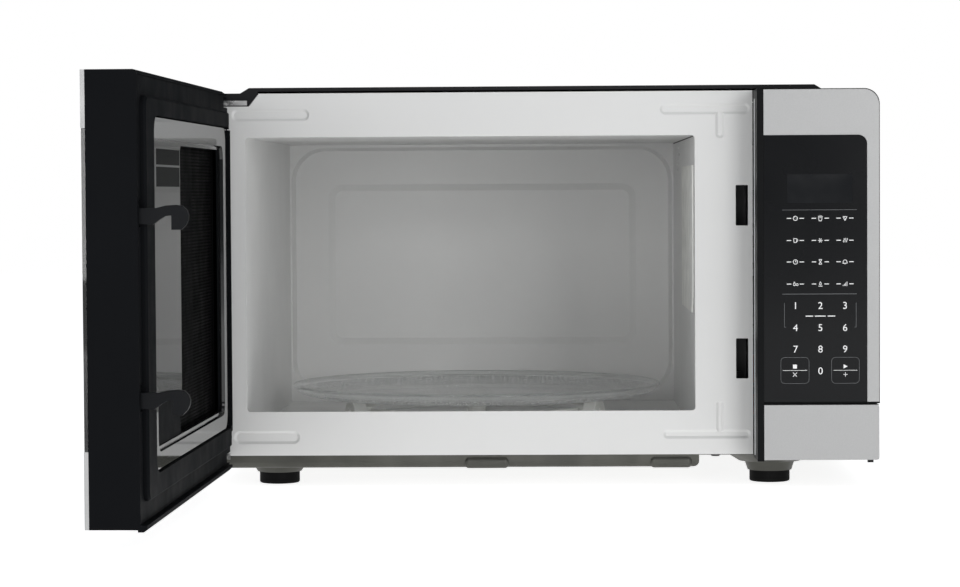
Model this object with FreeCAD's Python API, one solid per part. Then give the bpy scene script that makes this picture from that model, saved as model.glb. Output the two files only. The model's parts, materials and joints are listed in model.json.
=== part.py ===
import FreeCAD, Part
import math
import os

from FreeCAD import Vector

# Countertop microwave oven with a side-hinged door, standing on four feet, door open.
# Millimetres. While a piece is built, X runs from the cabinet's left side, Y from the front
# plate's face into the oven, and Z from the table. export_nodes() then moves everything so
# that the origin is under the middle of the whole object's box.

# Cabinet
CABINET_W = 519.4
SIDE_TOP_Z = 310.0
PLATEAU_TOP_Z = 314.2
COVER_BOTTOM_Z = 18.0
REAR_Y = 403.0
SHEET = 1.0
ORIGIN_X = 244.55
ORIGIN_Y = -8.0

# Front plate and its openings
PLATE_X = (4.9, 425.2)
PLATE_Z = (24.9, 309.7)
MOUTH_X = (27.5, 380.1)
MOUTH_Z = (59.3, 275.3)
HOOK_SLOT_X = (412.0, 421.6)
UPPER_SLOT_Z = (204.2, 235.9)
LOWER_SLOT_Z = (84.3, 115.8)

# Cavity
CAVITY_FLOOR_Z = 39.0
TRACK_Z = 37.8
CAVITY_BACK_Y = 382.0
RECESS_Y = 392.0
INNER_RECESS_Y = 396.0

# Base and feet
BASE_Z = 14.6
BAY_BASE_Z = 24.2
BASE_STEP_X = 382.0
FOOT_H = 9.2
FOOT_R = 16.0
FOOT_X = (49.0, 441.0)
FOOT_Y = (40.0, 360.0)

# Door, measured closed
DOOR_W = 423.8
DOOR_Z = (17.4, 311.0)
FACE_Y = -41.2
TRIM_T = 2.9
GLASS_SETBACK = 0.4
DOOR_INNER_Y = -5.2
LIP_Y = -1.2
BAND_Z = (67.3, 273.8)
CORNER_R = 12.0
MESH_X = (45.0, 244.0)
MESH_Z = (64.0, 265.0)
BAND_X = (14.0, 380.0)
BAND_Y = -3.2
BAND_STEP = 2.2
BAND_OUTER_Z = (49.0, 283.0)
BAND_INNER_X = (42.0, 360.0)
BAND_INNER_Z = (62.0, 267.0)
BAND_CUT_Z = 94.0
LIP_X = (12.0, 412.0)
LIP_Z = (34.0, 295.0)
OPEN_ANGLE = 91.25
HINGE_X = 8.0
HINGE_Y = -11.2
PIN_R = 3.0
BUSH_R = 5.0
RUNNING_FIT = 0.05

# Control panel
PANEL_X = (425.7, 520.0)
PANEL_Z = (22.9, 309.6)
TRIM_RIGHT_X = 519.2
TRIM_TOP_Z = 308.9
SILVER_X = 430.8
KEYPAD_RIGHT_X = 509.9
KEYPAD_Z = (68.8, 273.8)
BUTTON_X = (430.9, 519.2)
BUTTON_Z = (23.9, 66.3)
BUTTON_TRAVEL = 5.0

# Turntable drive
TABLE_X = 202.9
TABLE_Y = 204.0
TRAY_R = 157.5
TRAY_Z = 57.6
TRAY_TOP_Z = 69.0
WHEEL_R = 9.6
WHEEL_Z = TRACK_Z + 0.3 + WHEEL_R
WHEEL_RING_R = 115.0
WHEEL_W = 12.0
AXLE_R = 2.5
SHAFT_R = 3.0

# Cooling fan
FAN_X = 454.0
FAN_Z = 215.0
FAN_Y = (338.0, 350.0)
FAN_R = 49.0
FAN_SHAFT_R = 2.0

# Release lever
LEVER_Y = 12.0
LEVER_Z = 74.0

X_AXIS = Vector(1, 0, 0)
Y_AXIS = Vector(0, 1, 0)
Z_AXIS = Vector(0, 0, 1)
HINGE = Vector(HINGE_X, HINGE_Y, 0)
TABLE = Vector(TABLE_X, TABLE_Y, 0)


# ---------------------------------------------------------------- shape helpers

def block(x, y, z):
    """A box between three (low, high) pairs."""
    return Part.makeBox(x[1] - x[0], y[1] - y[0], z[1] - z[0], Vector(x[0], y[0], z[0]))


def parallel_edges(shape, axis, keep):
    """The straight edges along axis whose middle point passes keep(point)."""
    found = []
    for edge in shape.Edges:
        run = edge.Vertexes[-1].Point - edge.Vertexes[0].Point
        if run.Length > 0 and abs(run.normalize().dot(axis)) > 0.999 and keep(edge.CenterOfMass):
            found.append(edge)
    return found


def rounded(x, y, z, radius, axis, keep=lambda point: True):
    """A box with its edges along one axis rounded."""
    box = block(x, y, z)
    return box.makeFillet(radius, parallel_edges(box, axis, keep))


def rod(start, axis, radius, length):
    return Part.makeCylinder(radius, length, Vector(*start), axis)


def ring(start, axis, outer, inner, length):
    return rod(start, axis, outer, length).cut(rod(start, axis, inner, length))


def prism_x(points, x):
    """A (y, z) outline pushed along X."""
    corners = [Vector(x[0], y, z) for y, z in points]
    return Part.Face(Part.makePolygon(corners + corners[:1])).extrude(Vector(x[1] - x[0], 0, 0))


def prism_y(points, y):
    """An (x, z) outline pushed along Y."""
    corners = [Vector(x, y[0], z) for x, z in points]
    return Part.Face(Part.makePolygon(corners + corners[:1])).extrude(Vector(0, y[1] - y[0], 0))


def lathe(points, centre):
    """An (r, z) outline turned round a vertical axis."""
    corners = [Vector(r, 0, z) for r, z in points]
    solid = Part.Face(Part.makePolygon(corners + corners[:1])).revolve(Vector(), Z_AXIS, 360)
    return solid.translated(centre)


def end_wire(x, y, z, radius):
    """The outline of a rounded rectangle that stands across Y at y."""
    box = rounded(x, (y, y + 1), z, radius, Y_AXIS)
    face = min(box.Faces, key=lambda f: f.CenterOfMass.y)
    return face.OuterWire


def tapered(x, y, z, radius, slope):
    """A rounded block across Y whose outline shrinks by slope from y[0] to y[1]."""
    wide = end_wire(x, y[0], z, radius)
    narrow = end_wire(grown(x, -slope), y[1], grown(z, -slope), max(radius - slope, 0.3))
    return Part.makeLoft([wide, narrow], True, True)


def fuse(*shapes):
    return shapes[0].multiFuse(list(shapes[1:])).removeSplitter()


def cut(shape, *tools):
    return shape.cut(list(tools))


def grown(pair, by):
    return (pair[0] - by, pair[1] + by)


def around(centre, width):
    return (centre - width / 2, centre + width / 2)


def turned(shape, centre, degrees):
    return shape.rotated(centre, Z_AXIS, degrees)


def opened(shape):
    """Moves a piece of the door from closed to the rest pose."""
    return turned(shape, HINGE, -OPEN_ANGLE)


# ---------------------------------------------------------------- cabinet shell

PLATEAU_X = (31.0, 473.5)
PLATEAU_SLOPE = 7.0
COVER_BEND_R = 5.0
HEM_SIDE = 3.7
HEM_TOP_Z = 311.3
GUSSET = [(1.5, 300.1), (30.5, 300.1), (38.0, 309.6), (38.0, 313.5), (1.5, 313.5)]
GUSSET_GAP = 0.4
SIDE_EMBOSS = 0.8
SIDE_PANEL_Y = (50.0, 370.0)
SIDE_PANEL_Z = (60.0, 262.0)
SIDE_VENT_Y = [270.0 + 7.0 * i for i in range(12)]
SIDE_VENT_Z = [(90.0, 118.0), (128.0, 156.0)]
REAR_SCREWS = [(12.0, 40.0), (12.0, 290.0), (260.0, 302.0), (507.0, 40.0), (507.0, 290.0)]
GLAND_X = 470.0
GLAND_Z = 42.0
GLAND_HOLE_R = 8.0


def cover_outline(inset, y):
    """The cover's section: flat sides, bent corners and a shallow raised top."""
    left = inset
    right = CABINET_W - inset
    side_top = SIDE_TOP_Z - inset
    top = PLATEAU_TOP_Z - inset
    points = [
        (left, COVER_BOTTOM_Z), (left, side_top), (PLATEAU_X[0] - PLATEAU_SLOPE, side_top),
        (PLATEAU_X[0], top), (PLATEAU_X[1], top), (PLATEAU_X[1] + PLATEAU_SLOPE, side_top),
        (right, side_top), (right, COVER_BOTTOM_Z),
    ]
    solid = prism_y(points, y)
    bends = parallel_edges(solid, Y_AXIS, lambda p: abs(p.z - side_top) < 0.1
                           and (p.x < left + 1 or p.x > right - 1))
    return solid.makeFillet(COVER_BEND_R - inset, bends)


def outer_cover():
    shell = cover_outline(0, (0, REAR_Y)).cut(cover_outline(SHEET, (-1, REAR_Y + 1)))
    hem = cover_outline(SHEET, (0, SHEET))
    hem = hem.cut(block(grown((0, CABINET_W), -HEM_SIDE - SHEET), (-1, 2), (0, HEM_TOP_Z)))
    gusset = prism_y(GUSSET, (0, SHEET)).common(cover_outline(SHEET / 2, (0, SHEET)))
    emboss = rounded(around(CABINET_W, 2 * SIDE_EMBOSS), SIDE_PANEL_Y, SIDE_PANEL_Z, 12, X_AXIS)
    vents = []
    for y in SIDE_VENT_Y:
        for z in SIDE_VENT_Z:
            vents.append(block((-5, CABINET_W + 5), (y, y + 3), z))
    return cut(fuse(shell, hem, gusset, emboss), *vents)


def foot_boss(x, y, low_z):
    """Two stepped cones pressed down out of the base sheet, open at the top."""
    rim = FOOT_H
    outer = Part.makeCone(17.5, 21, low_z - rim, Vector(x, y, rim))
    inner = Part.makeCone(16.5, 20, low_z - rim, Vector(x, y, rim + SHEET))
    if low_z < BAY_BASE_Z:
        return outer, inner
    middle = (rim + BAY_BASE_Z) / 2
    outer = Part.makeCone(17.5, 20, middle - rim, Vector(x, y, rim))
    outer = outer.fuse(Part.makeCone(25, 37.2, BAY_BASE_Z - middle, Vector(x, y, middle)))
    inner = Part.makeCone(16.5, 19, middle - rim, Vector(x, y, rim + SHEET))
    inner = inner.fuse(Part.makeCone(24, 36.2, BAY_BASE_Z - middle, Vector(x, y, middle + SHEET)))
    return outer, inner


BASE_SCREWS = [(396.5, 16.0), (492.0, 16.0), (20.0, 388.0), (260.0, 388.0), (505.0, 388.0)]
BASE_X = (1.6, 517.8)
BASE_Y = (2.6, 401.5)
PAN_BEND_R = 5.0
BASE_BUMP_X = [(198.0, 234.0), (344.0, 378.0)]
BASE_BUMP_Z = (14.0, 23.6)
BASE_BUMP_RISE = 1.6
BASE_BUMP_R = 4.0


def base_floor_z(x):
    return BASE_Z if x < BASE_STEP_X else BAY_BASE_Z


def pan_volume(skin, top):
    """The low pan under the cavity with its long lower edges rounded; skin insets every wall."""
    x = (BASE_X[0] + skin, BASE_STEP_X + SHEET - skin)
    solid = block(x, grown(BASE_Y, -skin), (BASE_Z + skin, top))
    low_edges = [edge for edge in solid.Edges if edge.CenterOfMass.z < BASE_Z + skin + 0.1]
    return solid.makeFillet(PAN_BEND_R - skin, low_edges)


def base_bump(x):
    """A rounded boss pressed out of the pan's front edge."""
    solid = block(x, (BASE_Y[0] - BASE_BUMP_RISE, BASE_Y[0] + 9), BASE_BUMP_Z)
    return solid.makeFillet(BASE_BUMP_R, solid.Edges)


def base_plate():
    pan = pan_volume(0, BAY_BASE_Z + SHEET)
    bay = block((BASE_STEP_X, BASE_X[1]), BASE_Y, (BAY_BASE_Z, BAY_BASE_Z + SHEET))
    left = block((BASE_X[0], BASE_X[0] + SHEET), BASE_Y, (BASE_Z + PAN_BEND_R, 32))
    right = block((BASE_X[1] - SHEET, BASE_X[1]), BASE_Y, (BAY_BASE_Z, 32))
    bumps = [base_bump(x).cut(pan_volume(SHEET, BAY_BASE_Z)) for x in BASE_BUMP_X]
    body = fuse(pan.cut(pan_volume(SHEET, BAY_BASE_Z + 2)), bay, left, right, *bumps)
    holes = []
    for x in FOOT_X:
        for y in FOOT_Y:
            outer, inner = foot_boss(x, y, base_floor_z(x))
            body = body.fuse(outer)
            holes.append(inner)
            holes.append(rod((x, y, 0), Z_AXIS, 4.0, 40))
    for x, y in BASE_SCREWS:
        holes.append(rod((x, y, 0), Z_AXIS, 1.9, 40))
    return cut(body, *holes)


def rear_panel():
    sheet = cover_outline(BASE_X[0], (REAR_Y - SHEET, REAR_Y))
    sheet = sheet.cut(block((-1, CABINET_W), (0, REAR_Y + 1), (0, BAY_BASE_Z - 3)))
    holes = [rod((x, REAR_Y - 5, z), Y_AXIS, 1.9, 10) for x, z in REAR_SCREWS]
    holes.append(rod((GLAND_X, REAR_Y - 5, GLAND_Z), Y_AXIS, GLAND_HOLE_R, 10))
    for column in range(10):
        for row in range(4):
            x = 404.0 + 10.5 * column
            z = 164.0 + 26.0 * row
            holes.append(block((x, x + 4), (REAR_Y - 5, REAR_Y + 5), (z, z + 20)))
    for column in range(14):
        x = 60.0 + 10.5 * column
        holes.append(block((x, x + 4), (REAR_Y - 5, REAR_Y + 5), (230, 262)))
    return cut(sheet, *holes)


def cord_gland():
    """The inlet bush for a mains lead, with its flange outside."""
    flange = rod((GLAND_X, REAR_Y, GLAND_Z), Y_AXIS, 11, 3)
    body = rod((GLAND_X, REAR_Y - 8, GLAND_Z), Y_AXIS, GLAND_HOLE_R, 9)
    return cut(fuse(flange, body), rod((GLAND_X, REAR_Y - 10, GLAND_Z), Y_AXIS, 4, 20))


def pan_screw(head_centre, into, head_r=3.8, head_h=2.2, length=9.0, shank_r=1.9):
    """A pan-head screw whose head lies outside the sheet and whose shank points along into."""
    back = Vector(*head_centre) - into * head_h
    head = Part.makeCylinder(head_r, head_h, back, into)
    rim = [edge for edge in head.Edges
           if edge.Curve.TypeId == "Part::GeomCircle" and (edge.CenterOfMass - back).Length < 0.01]
    head = head.makeFillet(head_h * 0.6, rim)
    shank = Part.makeCylinder(shank_r, length, Vector(*head_centre), into)
    return head.fuse(shank)


def case_screws():
    rear = [pan_screw((x, REAR_Y, z), -Y_AXIS) for x, z in REAR_SCREWS]
    under = [pan_screw((x, y, base_floor_z(x)), Z_AXIS) for x, y in BASE_SCREWS]
    return Part.makeCompound(rear + under)


def foot(x, y):
    pad = rod((x, y, 0), Z_AXIS, FOOT_R, FOOT_H)
    sole = [edge for edge in pad.Edges
            if edge.Curve.TypeId == "Part::GeomCircle" and edge.CenterOfMass.z < 1]
    pad = pad.makeFillet(1.5, sole)
    stem = rod((x, y, FOOT_H), Z_AXIS, 3.9, 7)
    return fuse(pad, stem)


def rear_spacer(x):
    return rod((x, REAR_Y, 220), Y_AXIS, 8, 6).fuse(rod((x, REAR_Y, 220), Y_AXIS, 5, 8))


# ---------------------------------------------------------------- front plate and cavity

GROOVE_DEPTH = 1.3
GROOVE_SLOPE = 2.0
# Pressed grooves of the front plate: (x range, z range).
PLATE_GROOVES = [
    ((353.0, 423.4), (291.2, 299.9)), ((396.3, 403.3), (272.6, 296.0)),
    ((354.7, 423.4), (37.1, 44.1)), ((396.3, 402.0), (40.0, 66.8)),
    ((17.0, 78.3), (288.0, 297.5)), ((17.0, 69.0), (34.0, 44.5)),
]


def groove(x, z, skin):
    """A long pressed groove with sloping sides; skin gives the back of the pressing."""
    wide = (min(x[1] - x[0], z[1] - z[0]) - 0.4) / 2
    return tapered(x, (0, GROOVE_DEPTH + skin), z, wide, GROOVE_SLOPE)


def front_plate():
    sheet = block(PLATE_X, (0, SHEET), PLATE_Z)
    top_flange = block(PLATE_X, (0, 12), (PLATE_Z[1] - SHEET, PLATE_Z[1]))
    low_flange = block(PLATE_X, (0, 2.4), (PLATE_Z[0], PLATE_Z[0] + SHEET))
    pressed = [groove(x, z, SHEET) for x, z in PLATE_GROOVES]
    grooves = [groove(x, z, 0) for x, z in PLATE_GROOVES]
    mouth = rounded(MOUTH_X, (-2, 2), MOUTH_Z, 3, Y_AXIS)
    slots = [rounded(HOOK_SLOT_X, (-2, 2), z, 0.8, Y_AXIS) for z in (UPPER_SLOT_Z, LOWER_SLOT_Z)]
    bend = [(x + GUSSET_GAP, z - GUSSET_GAP) for x, z in GUSSET[1:3]]
    corner = prism_y(bend + [(38.4, 320), (0, 320), (0, 299.7)], (-2, 20))
    return cut(fuse(sheet, top_flange, low_flange, *pressed), mouth, corner, *grooves, *slots)


def cavity_volume(skin):
    """The oven's inside, grown by the wall thickness for the outside of the box."""
    x = grown(MOUTH_X, skin)
    low = CAVITY_FLOOR_Z - skin
    high = MOUTH_Z[1] + skin
    lip = MOUTH_Z[0] - skin
    front = 1.0
    back = CAVITY_BACK_Y + skin
    outline = [(front, lip), (front + 3, lip), (front + 15, low), (back, low), (back, high), (front, high)]
    main = prism_x(outline, x)
    recess = tapered(grown((29.0, 378.6), skin), (back, RECESS_Y + skin), grown((45.0, 273.0), skin),
                     31 + skin, 3)
    inner = tapered(grown((62.0, 345.7), skin), (RECESS_Y + skin, INNER_RECESS_Y + skin),
                    grown((91.0, 239.0), skin), 13 + skin, 6)
    track = ring((TABLE_X, TABLE_Y, TRACK_Z - skin), Z_AXIS, 126 + skin, 104 - skin, 3)
    if skin == 0:
        track = ring((TABLE_X, TABLE_Y, TRACK_Z), Z_AXIS, 126, 104, 2)
    return fuse(main, recess, inner, track)


def cavity_box():
    shell = cavity_volume(SHEET).cut(cavity_volume(0))
    x = MOUTH_X[1] - 3
    holes = [rod((TABLE_X, TABLE_Y, 30), Z_AXIS, 10, 15), block((x, x + 10), (75, 150), (155, 235))]
    for column in range(6):
        for row in range(5):
            holes.append(rod((x, 276 + 5 * column, 250 + 5 * row), X_AXIS, 1.6, 10))
    return cut(shell, *holes)


def waveguide_cover():
    """The mica sheet over the waveguide's mouth, with one corner cut off."""
    outline = [(18, 150), (33, 135), (196, 135), (196, 252), (18, 252)]
    return prism_x(outline, (MOUTH_X[1] - 1.2, MOUTH_X[1] - 0.2))


# ---------------------------------------------------------------- machinery bay

BAY_FLOOR = BAY_BASE_Z + SHEET
GUIDE_X = (381.3, 405.0)


def waveguide():
    body = block(GUIDE_X, (60, 190), (145, 245))
    hollow = block((GUIDE_X[0] - 1, GUIDE_X[1] - SHEET), (61, 189), (146, 244))
    return cut(body, hollow, rod((400, 105, 195), X_AXIS, 11, 10))


def magnetron():
    plate = block((405.2, 407), (60, 150), (155, 235))
    anode = rod((407, 105, 195), X_AXIS, 20, 50)
    frame = cut(block((407, 457), (65, 145), (158, 232)), block((409, 455), (67, 143), (150, 240)))
    fins = [block((412 + 7 * i, 413 + 7 * i), (67, 143), (162, 228)) for i in range(6)]
    box = block((457, 492), (72, 138), (164, 226))
    antenna = rod((386, 105, 195), X_AXIS, 8, 20)
    plug = block((492, 500), (92, 118), (170, 186))
    return fuse(plate, anode, frame, box, antenna, plug, *fins)


def transformer_core():
    core = block((410, 495), (205, 265), (BAY_FLOOR + 2, BAY_FLOOR + 80))
    windows = [block(x, (200, 270), (BAY_FLOOR + 15, BAY_FLOOR + 67)) for x in ((424, 436), (469, 481))]
    feet = block((402, 503), (207, 263), (BAY_FLOOR, BAY_FLOOR + 2))
    return fuse(cut(core, *windows), feet)


def winding(z):
    outer = rounded((424.3, 480.7), (192, 278), z, 9, Z_AXIS)
    return outer.cut(block((435.7, 469.3), (204.7, 265.3), grown(z, 1)))


def transformer_windings():
    lower = winding((BAY_FLOOR + 16, BAY_FLOOR + 39))
    upper = winding((BAY_FLOOR + 43, BAY_FLOOR + 66))
    return Part.makeCompound([lower, upper])


def capacitor():
    can = rounded((412, 464), (296, 329), (BAY_FLOOR, BAY_FLOOR + 92), 16, Z_AXIS)
    tabs = [block((x, x + 6), (311, 314), (BAY_FLOOR + 92, BAY_FLOOR + 104)) for x in (422, 448)]
    return fuse(can, *tabs)


def high_voltage_diode():
    body = rod((475, 302, 70), Y_AXIS, 3.5, 16)
    leads = rod((475, 296, 70), Y_AXIS, 0.8, 30)
    eye = ring((475, 328, 70), X_AXIS, 4, 2, 1.2)
    return fuse(body, leads, eye)


def fan_housing():
    plate = rounded((397, 511), (336, 352), (158, 272), 6, Y_AXIS)
    throat = rod((FAN_X, 330, FAN_Z), Y_AXIS, FAN_R + 3, 30)
    legs = [block(around(FAN_X, 14), (350, 391), z) for z in ((158.5, 161.5), (268.5, 271.5))]
    strap = block(around(FAN_X, 14), (388.5, 391), (158.5, 271.5))
    return fuse(cut(plate, throat), *legs, strap)


def fan_motor():
    core = block((434, 474), (368, 382), (192, 234))
    coil = rounded((440, 468), (362, 388), (186, 206), 6, X_AXIS)
    rotor_cap = rod((FAN_X, 364, FAN_Z), Y_AXIS, 9, 24)
    shaft = rod((FAN_X, FAN_Y[0], FAN_Z), Y_AXIS, FAN_SHAFT_R, 30)
    return fuse(core, coil, rotor_cap, shaft)


def fan_blade():
    hub = rod((FAN_X, FAN_Y[0], FAN_Z), Y_AXIS, 11, FAN_Y[1] - FAN_Y[0])
    centre = Vector(FAN_X, sum(FAN_Y) / 2, FAN_Z)
    blades = []
    for i in range(5):
        blade = rounded(around(0, 30), around(0, 1.6), (9, FAN_R - 1), 7, Y_AXIS, lambda p: p.z > 20)
        blade.rotate(Vector(), Z_AXIS, 18)
        blade.rotate(Vector(), Y_AXIS, 72 * i)
        blades.append(blade.translated(centre))
    sweep = rod((FAN_X, FAN_Y[0], FAN_Z), Y_AXIS, FAN_R, FAN_Y[1] - FAN_Y[0])
    bore = rod((FAN_X, FAN_Y[0] - 1, FAN_Z), Y_AXIS, FAN_SHAFT_R + RUNNING_FIT, 20)
    return cut(fuse(hub, *blades).common(sweep), bore)


def air_duct():
    body = block((382.5, 396.0), (200, 330), (150, 240))
    hollow = block((381, 394.5), (201.5, 328.5), (151.5, 238.5))
    inlet = block((390, 400), (210, 320), (160, 230))
    return cut(body, hollow, inlet)


def noise_filter_board():
    board = block((405, 505), (250, 330), (285, 286.6))
    choke = ring((430, 290, 286), Z_AXIS, 14, 7, 13)
    parts = [block((455, 481), (275, 285), (286, 300)), block((455, 481), (295, 307), (286, 298)),
             block((488, 500), (265, 290), (286, 294))]
    return fuse(board, choke, *parts)


LAMP = (396.0, 288.0, 260.0)
LAMP_SOCKET = (LAMP[0], LAMP[1] + 13.0, LAMP[2])


def lamp_holder():
    face = block((383, 386), around(LAMP[1] + 8, 40), around(LAMP[2], 32))
    face = face.cut(block((380, 390), around(LAMP[1] + 8, 28), around(LAMP[2], 24)))
    shelf = block((383, 408), (LAMP[1] + 25, LAMP[1] + 28), around(LAMP[2], 32))
    return fuse(face, shelf, rod(LAMP_SOCKET, Y_AXIS, 8, 13))


def lamp_bulb():
    glass = Part.makeSphere(8.5, Vector(*LAMP))
    return fuse(glass, rod(LAMP, Y_AXIS, 6, 13))


def thermal_cutout():
    cap = rod((330, 200, MOUTH_Z[1] + SHEET), Z_AXIS, 8, 7)
    ears = block((318, 342), (197, 203), (MOUTH_Z[1] + SHEET, MOUTH_Z[1] + SHEET + 1))
    tabs = [block((x, x + 1), (198, 202), (MOUTH_Z[1] + 8, MOUTH_Z[1] + 16)) for x in (326, 333)]
    return fuse(cap, ears, *tabs)


# ---------------------------------------------------------------- interlock

BOARD_X = (396.0, 424.6)
BOARD_Y = (1.3, 44.0)
BOARD_Z = (78.0, 242.0)
BOARD_WALL = 1.9


def latch_board():
    inside = block(grown(BOARD_X, -BOARD_WALL), (0, BOARD_Y[1] - BOARD_WALL),
                   grown(BOARD_Z, -BOARD_WALL))
    slot = block((406, 421.6), (17, 37), (BOARD_Z[0] - 2, BOARD_Z[0] + 5))
    ears = [block(x, (6, 18), (67, BOARD_Z[0] + 1)) for x in ((402, 406), (419.5, 423.5))]
    bore = rod((395, LEVER_Y, LEVER_Z), X_AXIS, SHAFT_R + RUNNING_FIT, 40)
    shelves = [block((BOARD_X[0], 410), (28, BOARD_Y[1]), (z, z + 2)) for z in (130, 190)]
    return cut(fuse(cut(block(BOARD_X, BOARD_Y, BOARD_Z), inside, slot), *shelves, *ears), bore)


def microswitch(z):
    """A snap switch with its button, on the latch board's side."""
    body = rounded((384.5, 394.8), (14, 42), (z, z + 16), 1, X_AXIS)
    button = rod((389.6, 20, z + 16), Z_AXIS, 1.4, 1.6)
    tabs = [block((389, 390), (y, y + 3), (z - 5, z)) for y in (18, 27, 36)]
    return fuse(body, button, *tabs).fuse(block((394.8, 396), (20, 36), (z + 4, z + 12)))


def release_lever():
    shaft = rod((400, LEVER_Y, LEVER_Z), X_AXIS, SHAFT_R, 48)
    pad = block((437, 447), (LEVER_Y - 2.5, LEVER_Y + 2.5), (42, LEVER_Z))
    arm = block((410, 417), (LEVER_Y, 30), (LEVER_Z - 2, LEVER_Z + 2))
    lifter = block((410, 417), (24, 30), (LEVER_Z, 88))
    return fuse(shaft, pad, arm, lifter)


# ---------------------------------------------------------------- hinges

UPPER_TONGUE_Z = (300.5, 302.5)
LOWER_TONGUE_Z = (24.5, 26.5)
PIN_REACH = 14.0
FLANGE_T = 1.0


def hinge_bracket(tongue_z, flange_x, flange_z, pin_z):
    """A steel angle on the oven's front; its tongue carries the hinge pin, riveted in."""
    tongue = rounded((2.0, 14.0), (HINGE_Y - 6.3, 0), tongue_z, 5.8, Z_AXIS, lambda p: p.y < HINGE_Y)
    flange = block(flange_x, (-FLANGE_T, 0), flange_z)
    pin = rod((HINGE_X, HINGE_Y, pin_z[0]), Z_AXIS, PIN_R, pin_z[1] - pin_z[0])
    return fuse(tongue, flange, pin)


def upper_hinge_bracket():
    low, high = UPPER_TONGUE_Z
    return hinge_bracket(UPPER_TONGUE_Z, (2.0, 29.5), (low, 304.3), (low - PIN_REACH, high + 1))


def lower_hinge_bracket():
    low, high = LOWER_TONGUE_Z
    return hinge_bracket(LOWER_TONGUE_Z, (2.0, 14.0), (22.0, high), (low - 1, high + PIN_REACH))


# ---------------------------------------------------------------- door, built closed

FRAME_Y = (FACE_Y + TRIM_T, DOOR_INNER_Y)
RIM = 3.0
WINDOW_X = (56.0, 368.0)
WINDOW_Z = (86.0, 258.0)
UPPER_BOSS_Z = (281.0, 298.5)
LOWER_BOSS_Z = (28.5, 46.0)
UPPER_NOTCH_Z = (298.5, 305.0)
LOWER_NOTCH_Z = (21.0, 28.5)
SILL_Y = (-7.0, -0.8)
SILL_TOP_Z = 20.4
SILL_DROP = 1.4
EDGE_BEVEL = 2.4
NOTCH_X = (-2.0, 19.7)
NOTCH_Y = (-22.0, 0.0)
HOOK_X = (413.3, 418.3)
HOOK_BASE_Z = (92.0, 210.0)
LATCH_TRAVEL = 4.0
LATCH_Y = (-28.0, -14.0)


def door_slab(y, z):
    """A full-width slice of the door with its two hinge-side corners rounded."""
    whole = rounded((0, DOOR_W), y, DOOR_Z, CORNER_R, Y_AXIS, lambda p: p.x < 1)
    return whole.common(block((-1, DOOR_W + 1), grown(y, 1), z))


def notches():
    return [block(NOTCH_X, NOTCH_Y, UPPER_NOTCH_Z), block(NOTCH_X, NOTCH_Y, LOWER_NOTCH_Z)]


def edge_bevels():
    """Wedges that bevel the long top edge of the door's inner side, and the sill's lower edge."""
    inner = DOOR_INNER_Y
    top = DOOR_Z[1]
    upper = [(inner - EDGE_BEVEL, top + 0.1), (inner + 0.1, top + 0.1), (inner + 0.1, top - EDGE_BEVEL)]
    front = SILL_Y[1]
    low = DOOR_Z[0] - SILL_DROP
    lower = [(front - EDGE_BEVEL, low - 0.1), (front + 0.1, low - 0.1), (front + 0.1, low + EDGE_BEVEL)]
    return [prism_x(outline, (-1, DOOR_W + 1)) for outline in (upper, lower)]


def door_frame():
    shell = door_slab(FRAME_Y, DOOR_Z)
    pocket = block((RIM, DOOR_W - RIM), (FRAME_Y[0] + 5, 0), grown(DOOR_Z, -RIM))
    window = rounded(WINDOW_X, (-50, 0), WINDOW_Z, 8, Y_AXIS)
    bosses = [block((0, NOTCH_X[1]), (NOTCH_Y[0], DOOR_INNER_Y), z) for z in (UPPER_BOSS_Z, LOWER_BOSS_Z)]
    bore = rod((HINGE_X, HINGE_Y, 0), Z_AXIS, BUSH_R, 400)
    sill = block((NOTCH_X[1], DOOR_W), SILL_Y, (DOOR_Z[0] - SILL_DROP, SILL_TOP_Z))
    body = fuse(cut(fuse(shell, sill), pocket, window), *bosses)
    return cut(body, bore, *edge_bevels(), *notches())


def hinge_bushes():
    return Part.makeCompound([
        ring((HINGE_X, HINGE_Y, z[0]), Z_AXIS, BUSH_R, PIN_R + RUNNING_FIT, z[1] - z[0])
        for z in (UPPER_BOSS_Z, LOWER_BOSS_Z)])


def door_glass():
    return block((0, DOOR_W), (FACE_Y + GLASS_SETBACK, FRAME_Y[0]), grown(BAND_Z, -0.1))


def door_trim_top():
    return door_slab((FACE_Y, FACE_Y + TRIM_T), (BAND_Z[1], DOOR_Z[1]))


def door_trim_bottom():
    return door_slab((FACE_Y, FACE_Y + TRIM_T), (DOOR_Z[0], BAND_Z[0]))


METAL_X = (22.0, 402.0)
METAL_Z = (48.0, 280.0)
METAL_Y = -12.0
CHOKE_DEPTH = 14.0


def door_panel():
    """The steel door panel: a window frame with its choke walls folded forward."""
    sheet = block(METAL_X, (METAL_Y, METAL_Y + SHEET), METAL_Z)
    walls = block(METAL_X, (METAL_Y - CHOKE_DEPTH, METAL_Y), METAL_Z)
    walls = walls.cut(block(grown(METAL_X, -SHEET), (-50, 0), grown(METAL_Z, -SHEET)))
    window = rounded(MESH_X, (-50, 0), MESH_Z, 6, Y_AXIS)
    return cut(fuse(sheet, walls), window)


def door_mesh():
    """The screen that fills the steel panel's window."""
    return rounded(grown(MESH_X, 1.5), (METAL_Y - 0.5, METAL_Y), grown(MESH_Z, 1.5), 6, Y_AXIS)


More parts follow.
